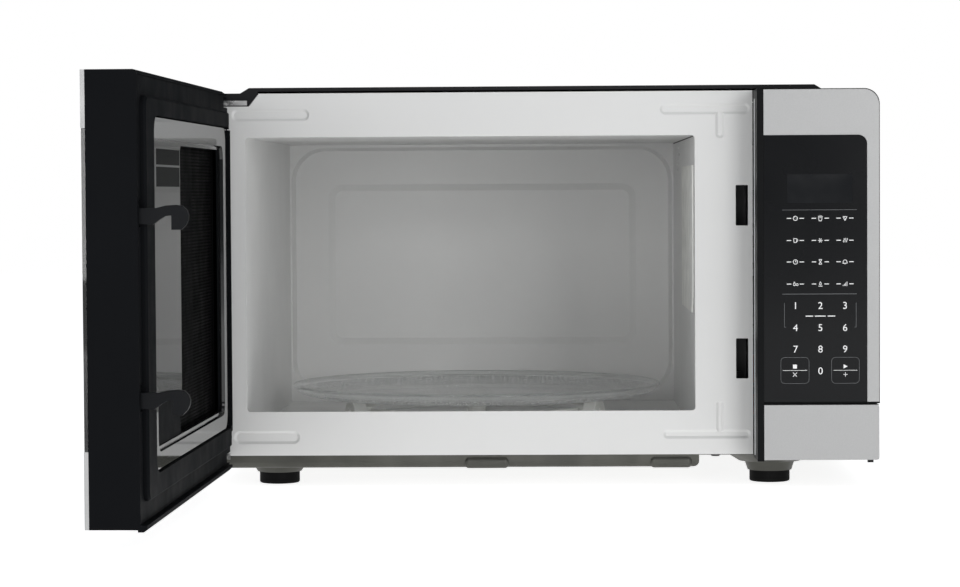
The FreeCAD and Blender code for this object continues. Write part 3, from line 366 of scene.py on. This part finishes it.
def add_studio():
    """The lights, and a world that the camera sees as white but that lights the scene only faintly."""
    for name, (at, target, size, power) in LIGHTS.items():
        add_area(name, at, target, size, power)
    world = bpy.data.worlds.new("studio")
    bpy.context.scene.world = world
    world.use_nodes = True
    tree = world.node_tree
    tree.nodes.clear()
    out = tree.nodes.new("ShaderNodeOutputWorld")
    seen = tree.nodes.new("ShaderNodeBackground")
    seen.inputs["Strength"].default_value = 1.0
    seen.inputs["Color"].default_value = (1, 1, 1, 1)
    lit = tree.nodes.new("ShaderNodeBackground")
    lit.inputs["Color"].default_value = AMBIENT_COLOUR
    lit.inputs["Strength"].default_value = AMBIENT_STRENGTH
    path = tree.nodes.new("ShaderNodeLightPath")
    mix = tree.nodes.new("ShaderNodeMixShader")
    tree.links.new(path.outputs["Is Camera Ray"], mix.inputs["Fac"])
    tree.links.new(lit.outputs["Background"], mix.inputs[1])
    tree.links.new(seen.outputs["Background"], mix.inputs[2])
    tree.links.new(mix.outputs["Shader"], out.inputs["Surface"])


FLOOR_REACH = 6.0
FLOOR_CELLS = 8
FLOOR_GLOW = 0.84


def add_floor():
    grid = bmesh.new()
    bmesh.ops.create_grid(grid, x_segments=FLOOR_CELLS, y_segments=FLOOR_CELLS, size=FLOOR_REACH)
    mesh = bpy.data.meshes.new("floor")
    grid.to_mesh(mesh)
    grid.free()
    MATERIALS["floor"] = surface("floor", (0.92, 0.92, 0.92), 0.6, tint=(1.5, 0.01),
                                 Emission_Color=(1, 1, 1, 1), Emission_Strength=FLOOR_GLOW)
    make_object("floor", mesh, "floor")


# ---------------------------------------------------------------- door window

SCREEN_PITCH = 2.4 * MM
SCREEN_BAR = 1.1 * MM
SCREEN_SHEET = 0.1 * MM


def door_screen():
    """The door's screen: a thin sheet with a square hole every pitch."""
    low, high = closed_box("door_mesh")
    pitch, bar = SCREEN_PITCH, SCREEN_BAR
    back = (low.y + high.y) / 2
    columns = int((high.x - low.x) / pitch)
    rows = int((high.z - low.z) / pitch)
    x0 = (low.x + high.x - columns * pitch) / 2
    z0 = (low.z + high.z - rows * pitch) / 2
    points, faces = [], []
    layer = 2 * (columns + 1) * 2 * (rows + 1)
    for y in (back, back + SCREEN_SHEET):
        for j in range(rows + 1):
            for z in (z0 + j * pitch - bar / 2, z0 + j * pitch + bar / 2):
                for i in range(columns + 1):
                    points.append((x0 + i * pitch - bar / 2, y, z))
                    points.append((x0 + i * pitch + bar / 2, y, z))
    wide = 2 * (columns + 1)

    def corner(i, j):
        return j * wide + i

    for j in range(2 * rows + 1):
        for i in range(wide - 1):
            hole = i % 2 == 1 and j % 2 == 1
            a, b, c, d = corner(i, j), corner(i + 1, j), corner(i + 1, j + 1), corner(i, j + 1)
            if not hole:
                faces.append((a, b, c, d))
                faces.append((a + layer, d + layer, c + layer, b + layer))
                continue
            for p, q in ((a, b), (b, c), (c, d), (d, a)):
                faces.append((p, q, q + layer, p + layer))
    screen = from_lists("door_screen", points, faces, "screen_black", place=DOOR_OPEN)
    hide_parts("door_mesh")
    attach(screen, "door")


# Each bar's lower and upper edge above the band's lower edge, then its plane below the band's inner face
# and its gaps to the screen and to the band's far end.
HEADER_BARS = ((187.3 * MM, 200.6 * MM), (202.0 * MM, 212.6 * MM))
HEADER_RECESS = 2.15 * MM
HEADER_GAP = 1 * MM
HEADER_END = 21 * MM


def window_painted_shade():
    """Two dull bars of painted shade across the top of the gloss flat beside the screen, standing in for a
    dark reflection there.
    """
    screen_high = closed_box("door_mesh")[1]
    band_low, band_high = closed_box("window_band")
    x = (screen_high.x + HEADER_GAP, band_high.x - HEADER_END)
    y = band_high.y - HEADER_RECESS
    z0 = band_low.z
    points, faces = [], []
    for low, high in HEADER_BARS:
        start = len(points)
        points += [(x[0], y, z0 + low), (x[1], y, z0 + low), (x[1], y, z0 + high), (x[0], y, z0 + high)]
        faces.append((start, start + 3, start + 2, start + 1))
    bars = from_lists("window_painted_shade", points, faces, "band_painted_shade", place=DOOR_OPEN)
    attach(bars, "door")


# ---------------------------------------------------------------- turntable tray

# The tray's section in mm: radius, then height above the underside of its flat middle.
TRAY_UNDER = ((0, 0), (60, 0), (112, 0), (128, 0.2), (138, 0.7), (147, 2.3), (153, 5.2), (155.8, 7.8))
TRAY_OVER = ((151.5, 7.8), (147.5, 5.6), (141, 4.0), (133, 3.4), (120, 3.2), (60, 3.2), (0, 3.2))
# The rolled rim in mm: inwards from the outer radius, then down from the top.
TRAY_RIM = ((0, 2.2), (0.4, 0.7), (1.6, 0), (3.0, 0.7), (3.8, 2.2))
TEXTURED_SPANS = (4, 5)
TRAY_STEPS = 360
LUG_COUNT = 3
LUG_HEIGHT = 4.2 * MM
LUG_WIDTH = 7 * MM
LUG_REACH = 15.5 * MM


def glass_tray():
    """The tray as a lathed dish with a rounded rim, specks near its edge and lugs for the coupler."""
    low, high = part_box("glass_tray")
    centre = (low + high) / 2
    radius = (high.x - low.x) / 2
    base = low.z + LUG_HEIGHT
    under = [(r * MM, base + z * MM) for r, z in TRAY_UNDER]
    rim = [(radius - r * MM, high.z - z * MM) for r, z in TRAY_RIM]
    over = [(r * MM, base + z * MM) for r, z in TRAY_OVER]
    outline = under + rim + over
    points, faces = [], []
    for k in range(TRAY_STEPS):
        angle = 2 * math.pi * k / TRAY_STEPS
        for r, z in outline:
            points.append((centre.x + r * math.cos(angle), centre.y + r * math.sin(angle), z))
    count = len(outline)
    for k in range(TRAY_STEPS):
        here = k * count
        following = (k + 1) % TRAY_STEPS * count
        for i in range(count - 1):
            faces.append((here + i, following + i, following + i + 1, here + i + 1))
    tray = from_lists("tray_dish", points, faces, "tray_glass", smooth=True)
    tray.data.materials.append(MATERIALS["tray_texture"])
    for index, polygon in enumerate(tray.data.polygons):
        if index % (count - 1) in TEXTURED_SPANS:
            polygon.material_index = 1
    shape = bmesh.new()
    shape.from_mesh(tray.data)
    bmesh.ops.remove_doubles(shape, verts=shape.verts, dist=1e-6)
    bmesh.ops.recalc_face_normals(shape, faces=shape.faces)
    for k in range(LUG_COUNT):
        angle = math.radians(60 + 360 / LUG_COUNT * k)
        lug = bmesh.ops.create_cube(shape, size=1)["verts"]
        size = Matrix.Diagonal((LUG_WIDTH, LUG_WIDTH, base - low.z, 1))
        turn = Matrix.Rotation(angle, 4, "Z")
        middle = Vector((centre.x, centre.y, 0)) + turn @ Vector((LUG_REACH, 0, (base + low.z) / 2))
        bmesh.ops.transform(shape, verts=lug, matrix=Matrix.Translation(middle) @ turn @ size)
    shape.to_mesh(tray.data)
    shape.free()
    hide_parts("glass_tray")
    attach(tray, "turntable")


# ---------------------------------------------------------------- cavity seam

# The seam runs just inside the right wall, its height given above the table.
SEAM_INSET = 1.06 * MM
SEAM_TOP = 275.3 * MM
SEAM_BOTTOM_DROP = 0.9 * MM
SEAM_TOP_DROP = 0.05 * MM
SEAM_LENGTH = 378 * MM
WELD_BACK = 255 * MM
WELD_DROP = 12 * MM
WELD_RADII = (3 * MM, 1.5 * MM)
WELD_STEPS = 16


def cavity_seam():
    """The dark joint between the cavity's top and right sheets, and a weld spot below it."""
    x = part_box("cavity_box")[1].x - SEAM_INSET
    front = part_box("front_plate")[1].y
    back = front + SEAM_LENGTH
    bottom, top = SEAM_TOP - SEAM_BOTTOM_DROP, SEAM_TOP - SEAM_TOP_DROP
    points = [(x, front, bottom), (x, back, bottom), (x, back, top), (x, front, top)]
    y, z = front + WELD_BACK, SEAM_TOP - WELD_DROP
    turns = [2 * math.pi * k / WELD_STEPS for k in range(WELD_STEPS)]
    spot = [(x, y + WELD_RADII[0] * math.cos(a), z + WELD_RADII[1] * math.sin(a)) for a in turns]
    faces = [(0, 3, 2, 1), tuple(range(4, 4 + WELD_STEPS))]
    seam = from_lists("cavity_seam", points + spot, faces, "seam_dark")
    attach(seam, "cabinet")


# The painted highlight strip's reach outside and inside the wall, then in front of the plate at its near
# and far edge.
HIGHLIGHT_OUT, HIGHLIGHT_IN = 0.5 * MM, 0.2 * MM
HIGHLIGHT_NEAR, HIGHLIGHT_FAR = 18.5 * MM, 14.5 * MM
HIGHLIGHT_ENDS = (3 * MM, 7 * MM)
HIGHLIGHT_SLOPE = 1.2 * MM


def panel_painted_highlight():
    """A pale strip of painted highlight down the control panel's left wall, standing in for the light
    caught on the wall's rounded front edge.
    """
    low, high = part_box("control_panel_frame")
    plate_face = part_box("front_plate")[0].y
    left, right = low.x - HIGHLIGHT_OUT, low.x + HIGHLIGHT_IN
    near, far = plate_face - HIGHLIGHT_NEAR, plate_face - HIGHLIGHT_FAR
    bottom, top = low.z + HIGHLIGHT_ENDS[0], high.z - HIGHLIGHT_ENDS[1]
    section = [(right, near), (left, near + HIGHLIGHT_SLOPE), (left, far - HIGHLIGHT_SLOPE), (right, far)]
    points = [(x, y, z) for z in (bottom, top) for x, y in section]
    faces = [(0, 1, 2, 3), (7, 6, 5, 4)] + [(k, k + 4, (k + 1) % 4 + 4, (k + 1) % 4) for k in range(4)]
    highlight_strip = from_lists("panel_painted_highlight", points, faces, "painted_highlight_grey")
    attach(highlight_strip, "cabinet")


# ---------------------------------------------------------------- springs

STEPS_PER_TURN = 20
WIRE_SIDES = 8


def helix(name, start, axis, length, radius, wire, turns, body, cad_node):
    """A coil spring as a round wire wound along axis from start."""
    axis = Vector(axis)
    side = axis.orthogonal().normalized()
    other = axis.cross(side)
    steps = turns * STEPS_PER_TURN
    ring = WIRE_SIDES
    path = []
    for k in range(steps + 1):
        t = k / steps
        angle = 2 * math.pi * turns * t
        along = wire / 2 + (length - wire) * t
        out = side * math.cos(angle) + other * math.sin(angle)
        path.append(Vector(start) + axis * along + out * radius)
    points, faces = [], []
    for k, point in enumerate(path):
        ahead = path[min(k + 1, steps)] - path[max(k - 1, 0)]
        ahead.normalize()
        out = (point - Vector(start) - axis * (point - Vector(start)).dot(axis)).normalized()
        across = ahead.cross(out)
        for i in range(ring):
            turn = 2 * math.pi * i / ring
            points.append(point + (out * math.cos(turn) + across * math.sin(turn)) * wire / 2)
    for k in range(steps):
        for i in range(ring):
            j = (i + 1) % ring
            faces.append((k * ring + i, k * ring + j, (k + 1) * ring + j, (k + 1) * ring + i))
    faces.append(tuple(reversed(range(ring))))
    faces.append(tuple(steps * ring + i for i in range(ring)))
    spring = from_lists(name, points, faces, "bright_steel", smooth=True)
    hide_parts(cad_node)
    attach(spring, body)
    return spring


def springs():
    low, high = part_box("latch_spring")
    middle = (low + high) / 2
    latch_end = (middle.x, middle.y, low.z)
    helix("latch_spring_coil", latch_end, (0, 0, 1), high.z - low.z, 2.6 * MM, 0.8 * MM, 11,
          "door_latch", "latch_spring")
    low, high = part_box("button_spring")
    middle = (low + high) / 2
    length = high.y - low.y
    button_end = (middle.x, low.y, middle.z)
    coil = helix("button_spring_coil", button_end, (0, 1, 0), length, 4.4 * MM, 1.0 * MM, 8,
                 "release_button", "button_spring")
    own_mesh(coil)


# ---------------------------------------------------------------- keypad print

INK_LIFT = 0.04 * MM
STROKE = 0.45 * MM


class Print:
    """Collects flat shapes on the keypad's face: x to the right and z up, in metres."""

    def __init__(self, y):
        self.y = y
        self.points = []
        self.faces = []

    def polygon(self, outline):
        start = len(self.points)
        self.points += [(x, self.y, z) for x, z in outline]
        self.faces.append(tuple(range(start, start + len(outline))))

    def bar(self, a, b, width=STROKE):
        """A straight stroke from a to b."""
        a, b = Vector(a), Vector(b)
        side = (b - a).normalized().orthogonal() * width / 2
        self.polygon([a + side, a - side, b - side, b + side])

    def path(self, corners, width=STROKE, closed=False):
        ends = corners + corners[:1] if closed else corners
        for a, b in zip(ends, ends[1:]):
            self.bar(a, b, width)

    def arc(self, centre, radius, start=0, end=360, width=STROKE, steps=20):
        for k in range(steps):
            a0 = math.radians(start + (end - start) * k / steps)
            a1 = math.radians(start + (end - start) * (k + 1) / steps)
            inner, outer = radius - width / 2, radius + width / 2
            self.polygon([(centre[0] + r * math.cos(a), centre[1] + r * math.sin(a))
                          for r, a in ((inner, a0), (outer, a0), (outer, a1), (inner, a1))])

    def dot(self, centre, radius, steps=14):
        self.polygon([(centre[0] + radius * math.cos(2 * math.pi * k / steps),
                       centre[1] + radius * math.sin(2 * math.pi * k / steps)) for k in range(steps)])

    def rounded_box(self, low, high, radius, width=STROKE):
        x0, z0, x1, z1 = low[0], low[1], high[0], high[1]
        self.path([(x0 + radius, z0), (x1 - radius, z0)], width)
        self.path([(x0 + radius, z1), (x1 - radius, z1)], width)
        self.path([(x0, z0 + radius), (x0, z1 - radius)], width)
        self.path([(x1, z0 + radius), (x1, z1 - radius)], width)
        for cx, cz, start in ((x1 - radius, z1 - radius, 0), (x0 + radius, z1 - radius, 90),
                              (x0 + radius, z0 + radius, 180), (x1 - radius, z0 + radius, 270)):
            self.arc((cx, cz), radius, start, start + 90, width, 6)

    def build(self, name, material):
        piece = from_lists(name, self.points, self.faces, material)
        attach(piece, "cabinet")
        return piece


def icon_tuber(ink, x, z, s):
    ink.arc((x, z), 0.8 * s)
    ink.dot((x - 0.25 * s, z + 0.2 * s), 0.12 * s)
    ink.dot((x + 0.3 * s, z - 0.15 * s), 0.12 * s)


def icon_popcorn(ink, x, z, s):
    ink.path([(x - 0.7 * s, z + 0.2 * s), (x - 0.45 * s, z - s), (x + 0.45 * s, z - s),
              (x + 0.7 * s, z + 0.2 * s)], closed=True)
    for dx in (-0.45, 0, 0.45):
        ink.arc((x + dx * s, z + 0.55 * s), 0.3 * s, steps=10)


def icon_pizza(ink, x, z, s):
    ink.path([(x - 0.8 * s, z + 0.6 * s), (x + 0.8 * s, z + 0.6 * s), (x, z - s)], closed=True)
    ink.dot((x - 0.2 * s, z + 0.2 * s), 0.15 * s)
    ink.dot((x + 0.2 * s, z - 0.15 * s), 0.15 * s)


def icon_cup(ink, x, z, s):
    ink.path([(x - 0.7 * s, z + 0.7 * s), (x - 0.5 * s, z - 0.8 * s), (x + 0.4 * s, z - 0.8 * s),
              (x + 0.6 * s, z + 0.7 * s)], closed=True)
    ink.arc((x + 0.6 * s, z), 0.35 * s, -90, 90, steps=8)


def icon_frost(ink, x, z, s):
    for k in range(3):
        angle = math.radians(60 * k)
        reach = Vector((math.cos(angle), math.sin(angle))) * 0.9 * s
        ink.bar(Vector((x, z)) - reach, Vector((x, z)) + reach)


def icon_waves(ink, x, z, s):
    for dx in (-0.5, 0.1, 0.7):
        ink.arc((x + (dx - 0.15) * s, z + 0.4 * s), 0.4 * s, -60, 60, steps=6)
        ink.arc((x + (dx + 0.25) * s, z - 0.4 * s), 0.4 * s, 120, 240, steps=6)


def icon_clock(ink, x, z, s):
    ink.arc((x, z), 0.85 * s)
    ink.path([(x, z + 0.55 * s), (x, z), (x + 0.4 * s, z)])


def icon_glass(ink, x, z, s):
    ink.path([(x - 0.6 * s, z + 0.9 * s), (x + 0.6 * s, z + 0.9 * s), (x - 0.6 * s, z - 0.9 * s),
              (x + 0.6 * s, z - 0.9 * s)], closed=True)


def icon_bell(ink, x, z, s):
    ink.arc((x, z), 0.7 * s, 0, 180, steps=12)
    ink.path([(x - 0.7 * s, z), (x - 0.9 * s, z - 0.6 * s), (x + 0.9 * s, z - 0.6 * s), (x + 0.7 * s, z)])
    ink.dot((x, z - 0.85 * s), 0.16 * s)


def icon_drop_clock(ink, x, z, s):
    ink.path([(x - 0.8 * s, z - 0.1 * s), (x - 0.4 * s, z + 0.9 * s), (x, z - 0.1 * s)])
    ink.arc((x - 0.4 * s, z - 0.2 * s), 0.4 * s, 180, 360, steps=8)
    ink.arc((x + 0.65 * s, z - 0.2 * s), 0.4 * s, steps=12)


def icon_drop_scale(ink, x, z, s):
    ink.path([(x - 0.4 * s, z + 0.1 * s), (x, z + 0.9 * s), (x + 0.4 * s, z + 0.1 * s)])
    ink.arc((x, z), 0.4 * s, 180, 360, steps=8)
    ink.path([(x - 0.8 * s, z - 0.85 * s), (x + 0.8 * s, z - 0.85 * s)])


def icon_level(ink, x, z, s):
    for k in range(4):
        across = x + (k - 1.5) * 0.5 * s
        ink.bar((across, z - 0.8 * s), (across, z + (-0.4 + 0.42 * k) * s))


ICONS = [
    [icon_tuber, icon_popcorn, icon_pizza],
    [icon_cup, icon_frost, icon_waves],
    [icon_clock, icon_glass, icon_bell],
    [icon_drop_clock, icon_drop_scale, icon_level],
]


def digit(text, x, z, height, y):
    """One printed digit, centred at x, z on the keypad's face."""
    data = bpy.data.curves.new("digit_" + text, "FONT")
    data.body = text
    data.size = height * 1.42
    data.align_x = "CENTER"
    curve = bpy.data.objects.new("digit_curve", data)
    bpy.context.scene.collection.objects.link(curve)
    bpy.context.view_layer.update()
    mesh = bpy.data.meshes.new_from_object(curve.evaluated_get(bpy.context.evaluated_depsgraph_get()))
    bpy.data.objects.remove(curve)
    mesh.transform(Matrix.Translation((x, y, z - height / 2)) @ Matrix.Rotation(math.pi / 2, 4, "X"))
    mesh.materials.clear()
    piece = make_object("digit_" + text, mesh, "label_ink")
    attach(piece, "cabinet")


# Places on the keypad in mm, from its left and lower edges. Each rule is a height and a line width, each
# bracket a place across and the way its foot points, and the display is left, bottom, right and top.
KEY_COLUMNS = (24.2, 43.3, 62.2)
ICON_ROWS = (141.2, 124.2, 107.7, 90.7)
DIGIT_ROWS = (74.2, 57.2, 40.7)
ZERO_ROW = 23.9
RULES = ((147.6, 0.3), (83.0, 0.4))
RULE_ENDS = (14.2, 71.2)
BRACKETS = ((15.7, 1), (70.7, -1))
BRACKET_ENDS = (57.5, 76.2)
BRACKET_FOOT = 1.2
DASH_ROW = 66.0
DASHES = ((32.0, 37.6), (39.0, 47.4), (48.8, 54.6))
LARGE_KEYS = ((12.9, 34.5), (51.8, 73.0))
LARGE_KEY_ENDS = (14.2, 34.2)
STOP_AT = (23.7, 27.2)
GO_AT = (62.4, 27.2)
DISPLAY = (18, 153, 68, 175)

# The two marks on the framed keys, in mm about their centres.
SQUARE = ((-1.5, -1.5), (1.5, -1.5), (1.5, 1.5), (-1.5, 1.5))
TRIANGLE = ((-1.4, -1.6), (1.8, 0), (-1.4, 1.6))

# A key's dashes run between these distances from its middle.
ICON_SIZE = 2.0 * MM
ICON_DASH = (3.2 * MM, 6.6 * MM)
DASH_WIDTH = 0.6 * MM
DIGIT_HEIGHT = 5.4 * MM


def print_icons(ink, columns, base):
    """A pictogram on each key, with a dash on both sides in place of its words."""
    for row, offset in enumerate(ICON_ROWS):
        for column, x in enumerate(columns):
            z = base + offset * MM
            ICONS[row][column](ink, x, z, ICON_SIZE)
            for side in (-1, 1):
                ink.bar((x + side * ICON_DASH[0], z), (x + side * ICON_DASH[1], z), DASH_WIDTH)


def print_rules(ink, faint, at):
    """The thin lines that part the groups of keys, and the dashes between two digit rows."""
    for z, width in RULES:
        faint.bar(at(RULE_ENDS[0], z), at(RULE_ENDS[1], z), width * MM)
    low, high = BRACKET_ENDS
    for x, side in BRACKETS:
        faint.bar(at(x, low), at(x, high), 0.3 * MM)
        faint.bar(at(x, low), at(x + BRACKET_FOOT * side, low), 0.3 * MM)
    for x0, x1 in DASHES:
        ink.bar(at(x0, DASH_ROW), at(x1, DASH_ROW), 0.7 * MM)


def print_large_keys(ink, faint, at):
    """The two framed keys: a square over a cross, and a triangle over a plus."""
    for x0, x1 in LARGE_KEYS:
        a, b = at(x0, LARGE_KEY_ENDS[0]), at(x1, LARGE_KEY_ENDS[1])
        middle = (a[1] + b[1]) / 2
        faint.rounded_box(a, b, 3 * MM, 0.25 * MM)
        ink.bar((a[0] + 1.5 * MM, middle), (b[0] - 1.5 * MM, middle), 0.3 * MM)
    x, z = at(*STOP_AT)
    ink.polygon([(x + dx * MM, z + dz * MM) for dx, dz in SQUARE])
    ink.bar((x - 1.5 * MM, z - 7.7 * MM), (x + 1.5 * MM, z - 4.7 * MM))
    ink.bar((x - 1.5 * MM, z - 4.7 * MM), (x + 1.5 * MM, z - 7.7 * MM))
    x, z = at(*GO_AT)
    ink.polygon([(x + dx * MM, z + dz * MM) for dx, dz in TRIANGLE])
    ink.bar((x - 1.6 * MM, z - 6.2 * MM), (x + 1.6 * MM, z - 6.2 * MM))
    ink.bar((x, z - 7.8 * MM), (x, z - 4.6 * MM))


def keypad_print():
    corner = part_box("keypad_panel")[0]
    face = corner.y - INK_LIFT
    left, base = corner.x, corner.z

    def at(x, z):
        return left + x * MM, base + z * MM

    columns = [left + x * MM for x in KEY_COLUMNS]
    ink = Print(face)
    faint = Print(face)
    print_icons(ink, columns, base)
    print_rules(ink, faint, at)
    print_large_keys(ink, faint, at)
    ink.build("keypad_icons", "label_ink")
    faint.build("keypad_lines", "faint_ink")
    for row, offset in enumerate(DIGIT_ROWS):
        for column, x in enumerate(columns):
            digit(str(3 * row + column + 1), x, base + offset * MM, DIGIT_HEIGHT, face)
    digit("0", columns[1], base + ZERO_ROW * MM, DIGIT_HEIGHT, face)
    window = Print(face + INK_LIFT / 2)
    x0, z0, x1, z1 = DISPLAY
    window.polygon([at(x0, z0), at(x1, z0), at(x1, z1), at(x0, z1)])
    window.build("display_window", "display_dark")


# ---------------------------------------------------------------- whole scene

def main():
    scene = bpy.context.scene
    scene.view_settings.view_transform = "Standard"
    scene.cycles.use_denoising = True
    add_camera()
    add_studio()
    add_floor()
    dress_cad_nodes()
    door_screen()
    window_painted_shade()
    panel_painted_highlight()
    glass_tray()
    cavity_seam()
    springs()
    keypad_print()


main()
